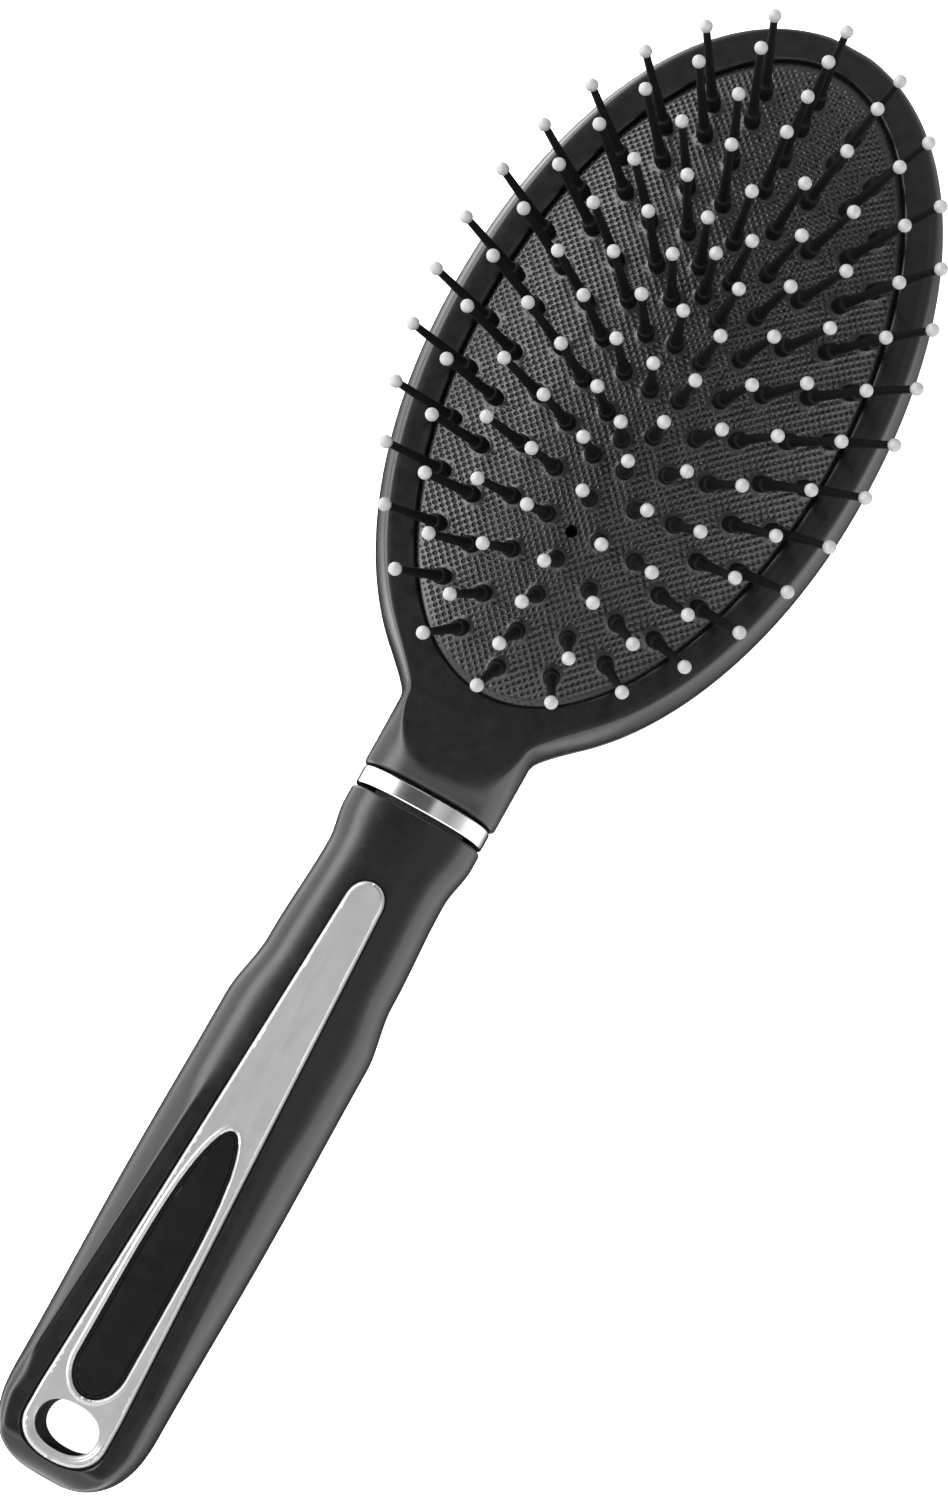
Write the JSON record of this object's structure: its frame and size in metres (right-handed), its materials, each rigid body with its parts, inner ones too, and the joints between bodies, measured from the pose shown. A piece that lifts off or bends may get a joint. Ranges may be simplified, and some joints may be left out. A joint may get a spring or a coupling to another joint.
{
  "type": "oval cushion hair brush",
  "caption": "Oval pneumatic cushion hair brush: ball-tipped pins in an air-backed rubber pad, two-part head, bright collar and a waisted grip with a metal inlay and a hanging hole.",
  "frame": {"origin": "middle of the overall length and width, on the plane that the back of the brush rests on", "axes": "+Y from the end of the grip to the tip of the head, +Z out of the cushion the way the pins point, +X to the right seen from the pin side"},
  "size_m": [0.072, 0.2418, 0.0378],
  "materials": {
    "head_front": "satin",
    "head_back": "satin",
    "cushion": "embossed",
    "inner_plastic": "moulded",
    "pins": "satin",
    "tips": "glossy",
    "collar": "polished",
    "grip": "satin",
    "trim": "satin with polished bevel",
    "insert": "satin"
  },
  "bodies": {
    "brush_body": {"head_front_frame": "head_front", "head_back_shell": "head_back", "cushion_membrane": "cushion", "membrane_retainer": "inner_plastic", "handle_core": "inner_plastic", "collar_ring": "collar", "grip_front_shell": "grip", "grip_back_shell": "grip", "grip_trim": "trim", "grip_insert": "insert"},
    "pin_ring_1": {"pins_ring_1": "pins", "tips_ring_1": "tips"},
    "pin_ring_2": {"pins_ring_2": "pins", "tips_ring_2": "tips"},
    "pin_ring_3": {"pins_ring_3": "pins", "tips_ring_3": "tips"},
    "pin_ring_4": {"pins_ring_4": "pins", "tips_ring_4": "tips"},
    "pin_ring_5": {"pins_ring_5": "pins", "tips_ring_5": "tips"},
    "pin_ring_6": {"pins_ring_6": "pins", "tips_ring_6": "tips"}
  },
  "joints": [
    {"name": "press_ring_6", "type": "slide", "parent": "brush_body", "child": "pin_ring_6", "axis": [0, 0, -1], "range_m": [0, 0.003], "stiffness_N_per_m": 3000, "deforming": ["cushion_membrane"]},
    {"name": "press_ring_5", "type": "slide", "parent": "brush_body", "child": "pin_ring_5", "axis": [0, 0, -1], "range_m": [0, 0.00291]},
    {"name": "press_ring_4", "type": "slide", "parent": "brush_body", "child": "pin_ring_4", "axis": [0, 0, -1], "range_m": [0, 0.00254]},
    {"name": "press_ring_3", "type": "slide", "parent": "brush_body", "child": "pin_ring_3", "axis": [0, 0, -1], "range_m": [0, 0.00208]},
    {"name": "press_ring_2", "type": "slide", "parent": "brush_body", "child": "pin_ring_2", "axis": [0, 0, -1], "range_m": [0, 0.00138]},
    {"name": "press_ring_1", "type": "slide", "parent": "brush_body", "child": "pin_ring_1", "axis": [0, 0, -1], "range_m": [0, 0.00054]}
  ],
  "couplings": [
    {"joint": "press_ring_5", "follows": "press_ring_6", "ratio": 0.954},
    {"joint": "press_ring_4", "follows": "press_ring_6", "ratio": 0.829},
    {"joint": "press_ring_3", "follows": "press_ring_6", "ratio": 0.678},
    {"joint": "press_ring_2", "follows": "press_ring_6", "ratio": 0.442},
    {"joint": "press_ring_1", "follows": "press_ring_6", "ratio": 0.164}
  ]
}
